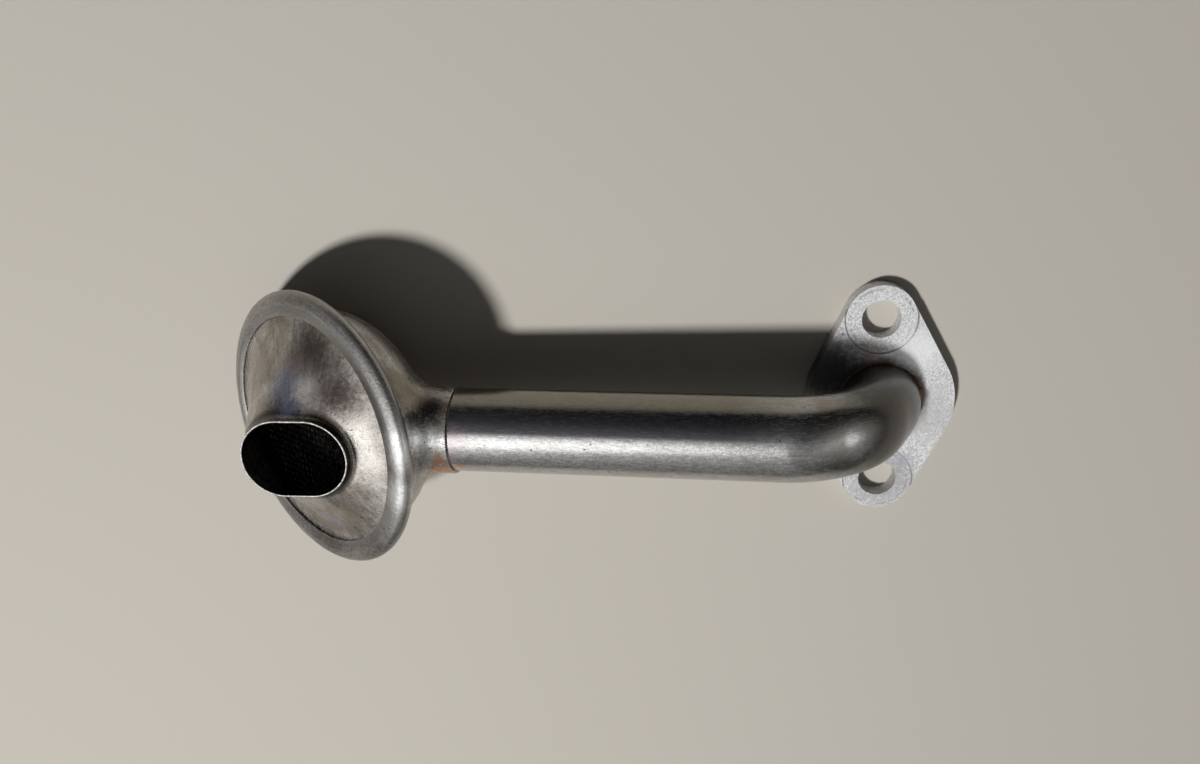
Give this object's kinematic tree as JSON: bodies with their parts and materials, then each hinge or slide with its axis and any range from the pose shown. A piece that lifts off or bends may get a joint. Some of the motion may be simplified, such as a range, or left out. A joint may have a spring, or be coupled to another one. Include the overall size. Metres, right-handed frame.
{
  "type": "oil pickup tube",
  "caption": "Oil pickup tube: a round strainer with a hood that rises to a flat oval inlet, on a bent steel tube with a two-bolt flange.",
  "frame": {"origin": "centre of the flange's mating face, on the axis of the tube's riser", "axes": "+Z away from the mating face, up the riser; the tube's run and the strainer lie towards -X; the snout opens towards +Z"},
  "size_m": [0.1763, 0.0658, 0.0444],
  "materials": {
    "sintered_steel": "grainy, blasted",
    "tube_steel": "satin, drawn",
    "housing_steel": "satin, heat-tinted",
    "cover_steel": "satin, heat-tinted",
    "screen_wire": "woven wire"
  },
  "bodies": {
    "root": {"flange": "sintered_steel", "pickup_tube": "tube_steel", "strainer_housing": "housing_steel", "inlet_cover": "cover_steel", "screen": "screen_wire"}
  },
  "joints": []
}
